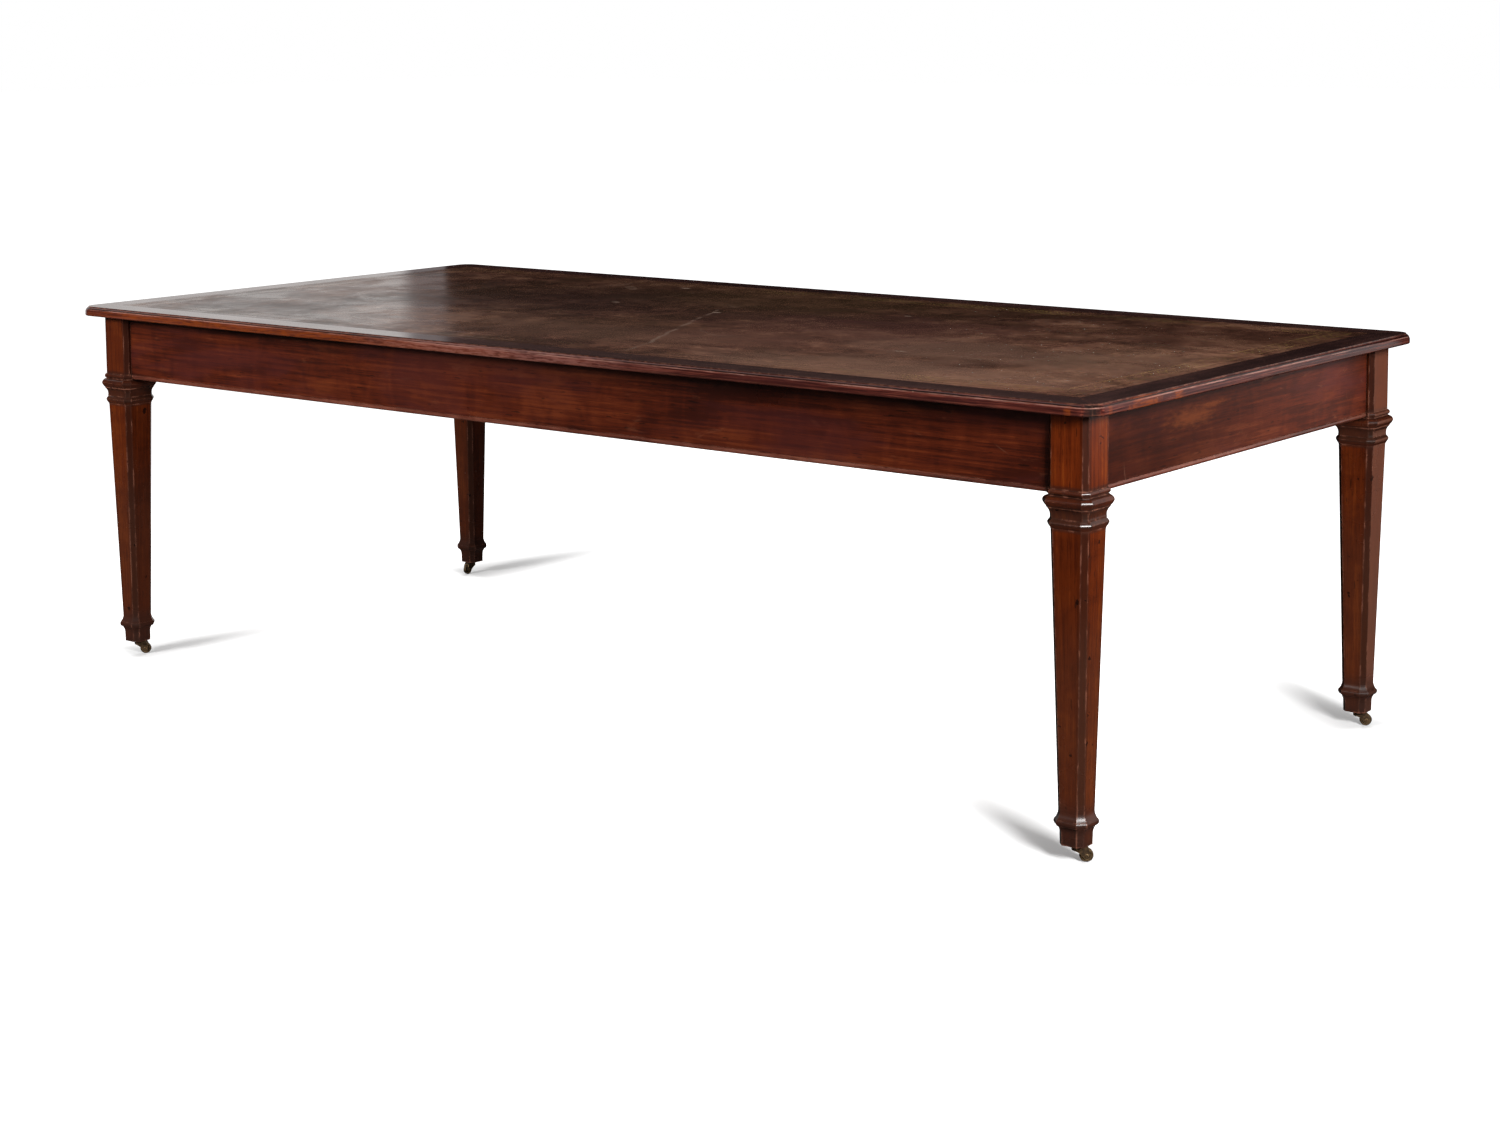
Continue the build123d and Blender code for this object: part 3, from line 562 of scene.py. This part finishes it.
def tooled_motif(finish, along, across, inset):
    """A running row of small lozenges between the gilt lines: |s| + |t| near a limit in each cell."""
    off = finish.sum("ABSOLUTE", finish.sum("SUBTRACT", inset, MOTIF_MIDDLE))
    t = finish.sum("DIVIDE", off, MOTIF_REACH)
    meeting = 0.0005
    rows_of = []
    for place, other, half, other_half in (
        (along, across, FIELD_HIGH.x, FIELD_HIGH.y),
        (across, along, FIELD_HIGH.y, FIELD_HIGH.x),
    ):
        s = finish.sum("DIVIDE", finish.sum("PINGPONG", place, MOTIF_PITCH / 2), MOTIF_PITCH / 2)
        lozenge = finish.near(finish.sum("ADD", s, t), 0.82, 0.08, 0.09)
        beside = finish.sum("SUBTRACT", other_half, finish.sum("ABSOLUTE", other))
        ahead = finish.sum("SUBTRACT", half, finish.sum("ABSOLUTE", place))
        nearer = finish.band(finish.sum("SUBTRACT", ahead, beside), -meeting, meeting)
        rows_of.append(finish.times(lozenge, nearer))
    return finish.sum("MAXIMUM", *rows_of)


def gilt_share(hide, along, across, inset):
    """Where gold is left: in the pressed lines and the motif, patchy, and better towards the back right."""
    gilt = tooled_motif(hide, along, across, inset)
    for middle, half in TOOLED_LINES:
        gilt = hide.sum("MAXIMUM", gilt, hide.near(inset, middle, half, TOOLED_SOFT))
    kept = hide.band(hide.noise(hide.place, scale=9.0, detail=5.0, roughness=0.65), 0.40, 0.64)
    slant = hide.sum("ADD", along, hide.sum("MULTIPLY", across, 0.9))
    spared = hide.spread(hide.band(slant, -0.3, 1.0), 0.30, 1.0)
    return hide.times(gilt, spared, hide.sum("MULTIPLY_ADD", kept, 0.62, 0.10))


def old_leather():
    """Worn brown hide with gilt tooling, a dark rim, a fine pebble and a patchy polish."""
    hide = Finish("old_leather")
    along, across, _ = hide.parts()
    cloud = hide.noise(hide.place, scale=3.4, detail=5.0, roughness=0.62, distortion=0.6)
    mottle = hide.noise(hide.place, scale=17.0, detail=5.0, roughness=0.66, distortion=0.3)
    colour = hide_colour(hide, along, across, cloud, mottle)
    inset = hide.sum(
        "MINIMUM",
        hide.sum("SUBTRACT", FIELD_HIGH.x, hide.sum("ABSOLUTE", along)),
        hide.sum("SUBTRACT", FIELD_HIGH.y, hide.sum("ABSOLUTE", across)),
    )
    colour = hide.blend(gilt_share(hide, along, across, inset), colour, GILT)
    rim_from, rim_to = 0.0028, 0.0008
    colour = hide.lay(colour, hide.band(inset, rim_from, rim_to), strength=0.85, tint=DIRT_AND_SHADE)

    pebble = hide.node("ShaderNodeTexVoronoi", {"Vector": hide.place, "Scale": 620.0}).outputs["Distance"]
    waves = hide.noise(hide.place, scale=6.0, detail=3.0, roughness=0.5)
    surface = hide.relief(waves, distance=0.0008, strength=0.20)
    surface = hide.relief(mottle, distance=0.00035, strength=0.25, normal=surface)
    surface = hide.relief(pebble, distance=0.00010, strength=0.30, normal=surface)
    matt_place = hide.stretch((7.0, 7.0, 7.0), offset=(2.0, 5.0, 0.0))
    matt = hide.noise(matt_place, detail=6.0, roughness=0.68, distortion=0.5)
    hide.set(Base_Color=colour, Roughness=hide.spread(hide.band(matt, 0.36, 0.70), 0.22, 0.40))
    hide.set(Specular_IOR_Level=0.17, Normal=surface)
    return hide


# Metal

BRASS, WHEEL_BRASS = (0.135, 0.078, 0.038), (0.160, 0.096, 0.046)
BRASS_DIRT, RUBBED_BRASS = (0.020, 0.014, 0.009), (0.46, 0.30, 0.14)
STEEL, RUST = (0.24, 0.23, 0.22), (0.085, 0.045, 0.028)


def old_brass(name, tone, roughness):
    """Cast brass gone dull: brown tarnish, darker in the hollows, rubbed bright on its edges."""
    brass = Finish(name)
    tarnish = brass.band(brass.noise(brass.place, scale=170.0, detail=5.0, roughness=0.65), 0.36, 0.60)
    colour = brass.blend(tarnish, tone, darker(tone, 0.30))
    colour = brass.lay(colour, brass.recess(0.008, wide=0.90, narrow=0.30), strength=0.85, tint=BRASS_DIRT)
    colour = brass.lay(colour, brass.worn_edge(0.0014), strength=0.55, tint=RUBBED_BRASS)
    pits = brass.noise(brass.place, scale=900.0, detail=3.0, roughness=0.6)
    brass.set(Base_Color=colour, Metallic=0.75, Roughness=brass.spread(tarnish, roughness, roughness + 0.25))
    brass.set(Normal=brass.relief(pits, distance=0.00008, strength=0.5))
    return brass


def dull_steel():
    """Old steel screws: grey-brown with a little rust."""
    steel = Finish("dull_steel")
    rust = steel.band(steel.noise(steel.place, scale=320.0, detail=4.0, roughness=0.6), 0.42, 0.62)
    colour = steel.blend(rust, STEEL, RUST)
    steel.set(Base_Color=colour, Metallic=0.8, Roughness=steel.spread(rust, 0.38, 0.7))
    return steel


# The leather, as a surface of its own over the boards

# In metres: the grid's step, half of a pressed line and its depth, the edge's rounding and its drop, the
# depth of the swells and how far in from the edge they are full
GRID_STEP = 0.012
LINE_HALF, LINE_DEPTH = 0.0012, 0.00022
SHOULDER, SHOULDER_DROP = 0.0015, 0.00035
SWELL_DEPTH, SWELL_FULL = 0.00010, 0.05


def lines_across(low, high, marks):
    """Places from low to high at every step, with five more across each pressed line on both sides."""
    count = int(round((high - low) / GRID_STEP)) + 1
    places = [np.linspace(low, high, count)]
    for mark in marks:
        for share in (-1.0, -0.45, 0.0, 0.45, 1.0):
            places.append(np.array([low + mark + share * LINE_HALF, high - mark - share * LINE_HALF]))
    return np.unique(np.round(np.concatenate(places), 6))


def swell_of(x, y):
    """Slow swells between 0 and 1: a checker of long waves and one set of slanting ones."""
    checker = np.sin(7.3 * x + 1.1) * np.cos(9.1 * y - 0.4)
    return 0.5 + 0.25 * (checker + np.sin(17.0 * x - 11.0 * y))


def leather_surface():
    """The hide as a grid z(x, y): its top level, less slow swells, less a trough along each pressed line,
    and less a rounded shoulder along its edge. A skirt closes it down to the boards."""
    low, high = FIELD_LOW, FIELD_HIGH
    marks = [middle for middle, _ in TOOLED_LINES] + [SHOULDER]
    x = lines_across(low.x, high.x, marks)
    y = lines_across(low.y, high.y, marks)
    grid_x, grid_y = np.meshgrid(x, y, indexing="ij")
    beside_x = np.minimum(grid_x - low.x, high.x - grid_x)
    beside_y = np.minimum(grid_y - low.y, high.y - grid_y)
    inset = np.minimum(beside_x, beside_y)
    level = high.z - SWELL_DEPTH * swell_of(grid_x, grid_y) * np.clip(inset / SWELL_FULL, 0.0, 1.0)
    for middle, _ in TOOLED_LINES:
        level -= LINE_DEPTH * np.clip(1.0 - np.abs(inset - middle) / LINE_HALF, 0.0, 1.0)
    level -= SHOULDER_DROP * np.clip(1.0 - inset / SHOULDER, 0.0, 1.0) ** 2
    top = np.stack([grid_x, grid_y, level], axis=-1).reshape(-1, 3)
    index = np.arange(grid_x.size).reshape(grid_x.shape)
    corners = [index[:-1, :-1], index[1:, :-1], index[1:, 1:], index[:-1, 1:]]
    quads = np.stack(corners, axis=-1).reshape(-1, 4)
    rim = np.concatenate([index[:-1, 0], index[-1, :-1], index[:0:-1, -1], index[0, :0:-1]])
    skirt = top[rim].copy()
    skirt[:, 2] = low.z
    below = len(top) + np.arange(len(rim))
    after = np.roll(np.arange(len(rim)), -1)
    walls = np.stack([rim, below, below[after], rim[after]], axis=-1)
    points = np.concatenate([top, skirt])
    mesh = bpy.data.meshes.new("leather_top")
    mesh.from_pydata(points.tolist(), [], [*quads.tolist(), *walls.tolist(), below[::-1].tolist()])
    mesh.update()
    mesh.shade_smooth()
    piece = bpy.data.objects.new("leather_top", mesh)
    bpy.context.scene.collection.objects.link(piece)
    return piece


leather = leather_surface()
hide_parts("leather_inset")
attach(leather, "table")

# Finishes on every piece

finishes = {
    "leg": leg_mahogany(),
    "rail_x": rail_mahogany("rail_mahogany_long", "X", RAIL_TONES, shade_and_grime=0.042),
    "rail_y": rail_mahogany("rail_mahogany_short", "Y", END_RAIL_TONES, shade_and_grime=0.018),
    # The beads' lighter tones and strong pale arrises are partly a painted highlight along them
    "bead_x": mahogany("bead_mahogany_long", "X", BEAD_TONES, polish=0.22, edge=0.9, shade_and_grime=0.006),
    "bead_y": mahogany("bead_mahogany_short", "Y", BEAD_TONES, polish=0.22, edge=0.9, shade_and_grime=0.006),
    "border_x": border_mahogany("border_mahogany_long", "X"),
    "border_y": border_mahogany("border_mahogany_short", "Y"),
    "inner_x": planed_wood("planed_boards", "X"),
    "inner_y": planed_wood("planed_bearers", "Y"),
    "inner_z": planed_wood("planed_blocks", "Z"),
    "leather": old_leather(),
    "brass": old_brass("old_brass", BRASS, roughness=0.40),
    "wheel": old_brass("wheel_brass", WHEEL_BRASS, roughness=0.36),
    "steel": dull_steel(),
}


def finish_of(name):
    """Which finish a piece has."""
    long_side = name.endswith(("front", "back"))
    if name.startswith("leg_"):
        return "leg"
    if name.startswith("rail_bead"):
        return "bead_x" if long_side else "bead_y"
    if name.startswith("rail"):
        return "rail_x" if long_side else "rail_y"
    if name.startswith("top_border"):
        return "border_x" if long_side else "border_y"
    if name.startswith("leather"):
        return "leather"
    if name.startswith("caster_wheel"):
        return "wheel"
    if "screws" in name or name.startswith("caster_pivot"):
        return "steel"
    if name.startswith("caster"):
        return "brass"
    if name.startswith("cross_bearer"):
        return "inner_y"
    if name.startswith("glue_blocks"):
        return "inner_z"
    return "inner_x"


# How widely the arrises of a finish's pieces are rounded, in metres
SOFTENED = {"rail_x": 0.0007, "rail_y": 0.0007, "border_x": 0.0006, "border_y": 0.0006,
            "brass": 0.0007, "wheel": 0.0004}
JOINED_WITHIN = 0.00002
SHARP_FROM = math.radians(34)


def soften(piece, width):
    """Joins a solid's loose facets and rounds its sharp arrises by a small amount."""
    piece.modifiers.new("joined", "WELD").merge_threshold = JOINED_WITHIN
    bevel = piece.modifiers.new("rounded", "BEVEL")
    bevel.width = width
    bevel.segments = 2
    bevel.limit_method = "ANGLE"
    bevel.angle_limit = SHARP_FROM
    bevel.use_clamp_overlap = True
    bevel.loop_slide = False
    bevel.harden_normals = True


for name, piece in nodes.items():
    kind = finish_of(name)
    piece.data.materials.clear()
    piece.data.materials.append(finishes[kind].material)
    if kind in SOFTENED:
        soften(piece, SOFTENED[kind])
leather.data.materials.append(finishes["leather"].material)

# Studio: a pale floor, a white surround, three soft lamps, and a backdrop and a dark room that only the
# polish sees

BLACK, WHITE = (0.0, 0.0, 0.0), (1.0, 1.0, 1.0)
FLOOR_HALF = 40
FLOOR_LIGHTING, FLOOR_SEEN = (0.45, 0.45, 0.45), (0.97, 0.97, 0.97)
SHADOW_LENGTH, SHADOW_START, SHADOW_HALF_WIDTH = 0.72, 0.07, 0.17
# Which way the floor keeps the shadow of each pair of legs, away from the lamp on that side
SHADOW_WAYS = {-1: (0.16, 0.987), 1: (-0.845, 0.535)}
SHADOW_KEPT = 0.94
WORLD_LIGHTING, WORLD_SEEN = 0.24, 1.0
# The backdrop in metres, from left to right: pale up to the strip, half lit, then dark
BACKDROP_LEFT, STRIP_FROM, DARK_FROM, BACKDROP_RIGHT = -5.0, -1.500, -1.359, 1.30
BACKDROP_DEPTH, BACKDROP_HEIGHT, BACKDROP_SOFT = 0.62, 3.2, 0.012
LIGHTER_OVER = 0.45
BACKDROP_LOW, BACKDROP_HIGH = (0.008, 0.005, 0.005), (0.085, 0.060, 0.056)
BACKDROP_STRIP, BACKDROP_PALE = (0.290, 0.262, 0.266), (0.96, 0.92, 0.90)
# The dark room in metres: half its width, how far it reaches each way, its height and where its carpet is lit
ROOM_HALF, ROOM_EDGE, ROOM_NEAR, ROOM_FAR, ROOM_BACK, ROOM_HEIGHT = 7.5, 1.5, -1.3, -7.5, 9.0, 4.6
CARPET_LEVEL, CARPET_LIT = 0.004, (2.9, 4.8)
ROOM_DARK, ROOM_PALE = (0.050, 0.042, 0.038), (0.95, 0.90, 0.88)
# The lamps: place, what they are aimed at, size in metres, power in watts and spread in degrees
LAMPS = {
    "right_lamp": ((4.2, -2.25, 2.1), (0.9, -0.2, 0.45), (1.1, 1.1), 42.0, 70.0),
    "front_lamp": ((-1.9, -5.0, 2.3), (-1.3, -0.2, 0.45), (1.6, 1.0), 17.0, 46.0),
    "back_lamp": ((-2.2, 5.2, 2.4), (-0.2, 0.3, 0.45), (1.0, 0.9), 22.0, 60.0),
}


def flat_sheet(name, corners, faces=((0, 1, 2, 3),)):
    """A piece of the stage made of flat faces."""
    mesh = bpy.data.meshes.new(name)
    mesh.from_pydata(corners, [], faces)
    made = bpy.data.objects.new(name, mesh)
    bpy.context.scene.collection.objects.link(made)
    return made


def seen_directly(tree):
    """1 for rays from the camera, from gloss and through glass."""
    path = tree.nodes.new("ShaderNodeLightPath")
    total = path.outputs["Is Camera Ray"]
    for kind in ("Is Glossy Ray", "Is Transmission Ray"):
        larger = tree.nodes.new("ShaderNodeMath")
        larger.operation = "MAXIMUM"
        tree.links.new(total, larger.inputs[0])
        tree.links.new(path.outputs[kind], larger.inputs[1])
        total = larger.outputs[0]
    return total


def shadow_keeper(finish):
    """1 on the floor at each leg's foot, fading out to 0 in a long half oval along its lamp's shadow."""
    x, y, _ = finish.parts()
    near = None
    for side, (way_x, way_y) in SHADOW_WAYS.items():
        for leg_y in (-LEG_Y, LEG_Y):
            off_x = finish.sum("SUBTRACT", x, side * LEG_X)
            off_y = finish.sum("SUBTRACT", y, leg_y)
            ahead = finish.sum("ADD", finish.times(off_x, way_x), finish.times(off_y, way_y))
            beside = finish.sum("SUBTRACT", finish.times(off_x, way_y), finish.times(off_y, way_x))
            behind = finish.sum("DIVIDE", ahead, -SHADOW_START)
            along = finish.sum("MAXIMUM", finish.sum("DIVIDE", ahead, SHADOW_LENGTH), behind)
            across = finish.sum("DIVIDE", beside, SHADOW_HALF_WIDTH)
            squares = finish.sum("ADD", finish.times(along, along), finish.times(across, across))
            share = finish.band(finish.sum("SQRT", squares), 1.0, 0.1)
            near = share if near is None else finish.sum("MAXIMUM", near, share)
    return near


def studio_floor():
    """A pale floor: white where it is seen, with the shadows kept beside the casters."""
    half = FLOOR_HALF
    corners = [(-half, -half, 0), (half, -half, 0), (half, half, 0), (-half, half, 0)]
    floor = flat_sheet("studio_floor", corners)
    finish = Finish("studio_floor")
    seen = seen_directly(finish.tree)
    finish.set(Base_Color=finish.blend(seen, FLOOR_LIGHTING, FLOOR_SEEN), Roughness=0.9)
    finish.set(Specular_IOR_Level=0.0)
    lift = finish.sum("MULTIPLY_ADD", shadow_keeper(finish), -SHADOW_KEPT, 1.0)
    finish.set(Emission_Color=WHITE, Emission_Strength=finish.times(seen, lift))
    floor.data.materials.append(finish.material)


def only_in_polish(sheet, finish, glow):
    """Makes a sheet glow in a colour that only reflections show."""
    finish.set(Base_Color=BLACK, Roughness=1.0, Specular_IOR_Level=0.0)
    finish.set(Emission_Color=glow, Emission_Strength=1.0)
    sheet.data.materials.append(finish.material)
    sheet.visible_camera = False
    sheet.visible_diffuse = False
    sheet.visible_shadow = False


def backdrop():
    """A backdrop close behind the table, seen only in reflections: pale at the left, then a half-lit strip,
    then nearly black, a little lighter towards its top."""
    corners = [(BACKDROP_LEFT, 0), (BACKDROP_RIGHT, 0), (BACKDROP_RIGHT, BACKDROP_HEIGHT),
               (BACKDROP_LEFT, BACKDROP_HEIGHT)]
    sheet = flat_sheet("backdrop", [(x, BACKDROP_DEPTH, z) for x, z in corners])
    finish = Finish("backdrop")
    x, _, z = finish.parts()
    soft, softer = BACKDROP_SOFT, 3 * BACKDROP_SOFT
    cloth = finish.blend(finish.band(z, TOP_HEIGHT, TOP_HEIGHT + LIGHTER_OVER), BACKDROP_LOW, BACKDROP_HIGH)
    cloth = finish.blend(finish.band(x, DARK_FROM + soft, DARK_FROM - soft), cloth, BACKDROP_STRIP)
    cloth = finish.blend(finish.band(x, STRIP_FROM + softer, STRIP_FROM - softer), cloth, BACKDROP_PALE)
    only_in_polish(sheet, finish, cloth)


def dark_room():
    """The dark room round the camera, seen only in reflections: a carpet that grows lighter far behind the
    table, three walls and a ceiling."""
    wide, edge = ROOM_HALF, ROOM_EDGE
    carpet = [(x, y, CARPET_LEVEL) for x, y in
              ((-wide, ROOM_FAR), (wide, ROOM_FAR), (wide, ROOM_BACK), (-wide, ROOM_BACK))]
    outline = [(-wide, ROOM_NEAR), (-wide, ROOM_FAR), (wide, ROOM_FAR), (wide, ROOM_BACK), (edge, ROOM_BACK),
               (edge, ROOM_NEAR)]
    walls = [(x, y, z) for z in (CARPET_LEVEL, ROOM_HEIGHT) for x, y in outline]
    ceiling = [(10, 11, 12, 15), (12, 13, 14, 15)]
    faces = [(0, 1, 2, 3), *ceiling] + [(k + 4, k + 5, k + 11, k + 10) for k in range(3)]
    room = flat_sheet("dark_room", carpet + walls, faces)
    finish = Finish("dark_room")
    lit = finish.band(finish.parts()[1], *CARPET_LIT)
    only_in_polish(room, finish, finish.blend(lit, ROOM_DARK, ROOM_PALE))


def lit_group(name, state):
    """The flat top's pieces as a lamp's list, of what it alone lights or of what it leaves out."""
    group = bpy.data.collections.new(name)
    for piece in [leather] + [nodes[name] for name in nodes if name.startswith("top_border")]:
        group.objects.link(piece)
    for entry in group.collection_objects:
        entry.light_linking.link_state = state
    return group


def soft_lamp(name, place, target, size, power, spread, in_polish, group=None):
    """A soft lamp aimed at a target, mirrored in polish or not, for every piece or by its group."""
    lamp = bpy.data.lights.new(name, "AREA")
    lamp.shape = "RECTANGLE"
    lamp.size, lamp.size_y = size
    lamp.energy = power
    lamp.spread = math.radians(spread)
    holder = bpy.data.objects.new(name, lamp)
    bpy.context.scene.collection.objects.link(holder)
    holder.visible_glossy = in_polish
    holder.light_linking.receiver_collection = group
    place, target = np.array(place), np.array(target)
    back = (place - target) / np.linalg.norm(place - target)
    side = np.cross((0.0, 0.0, 1.0), back)
    side /= np.linalg.norm(side)
    turned = np.column_stack([side, np.cross(back, side), back, place])
    holder.matrix_world = Matrix(np.vstack([turned, (0.0, 0.0, 0.0, 1.0)]).tolist())
    holder.visible_camera = False


def lamps():
    """The right and front lamps, once for the flat top, which doesn't mirror them and so isn't burnt out from
    behind, and once for all else, which does; and the back lamp, which nothing mirrors."""
    only_top, all_but_top = lit_group("only_top", "INCLUDE"), lit_group("all_but_top", "EXCLUDE")
    for part, group, in_polish in (("", all_but_top, True), ("_on_top", only_top, False)):
        soft_lamp("right_lamp" + part, *LAMPS["right_lamp"], in_polish, group)
        soft_lamp("front_lamp" + part, *LAMPS["front_lamp"], in_polish, group)
    soft_lamp("back_lamp", *LAMPS["back_lamp"], in_polish=False)


def surround():
    """The world: white where it is seen, and a dim even light otherwise."""
    world = bpy.data.worlds.new("surround")
    bpy.context.scene.world = world
    world.use_nodes = True
    tree = world.node_tree
    background = tree.nodes["Background"]
    background.inputs["Color"].default_value = (*WHITE, 1.0)
    strength = tree.nodes.new("ShaderNodeMapRange")
    strength.inputs["To Min"].default_value = WORLD_LIGHTING
    strength.inputs["To Max"].default_value = WORLD_SEEN
    tree.links.new(seen_directly(tree), strength.inputs["Value"])
    tree.links.new(strength.outputs["Result"], background.inputs["Strength"])


def photograph_camera():
    """The camera that took the photograph."""
    data = bpy.data.cameras.new("camera")
    camera = bpy.data.objects.new("camera", data)
    bpy.context.scene.collection.objects.link(camera)
    bpy.context.scene.camera = camera
    data.sensor_width = CAMERA_SENSOR
    data.lens = CAMERA_LENS
    data.shift_y = CAMERA_SHIFT
    data.clip_end = CAMERA_REACH
    turn = Matrix.Rotation(CAMERA_YAW, 4, "Z") @ Matrix.Rotation(math.pi / 2 - CAMERA_PITCH, 4, "X")
    turn = turn @ Matrix.Rotation(CAMERA_ROLL, 4, "Z")
    camera.matrix_world = Matrix.Translation(CAMERA_PLACE) @ turn


photograph_camera()
studio_floor()
backdrop()
dark_room()
surround()
lamps()
bpy.context.scene.view_settings.view_transform = "Standard"
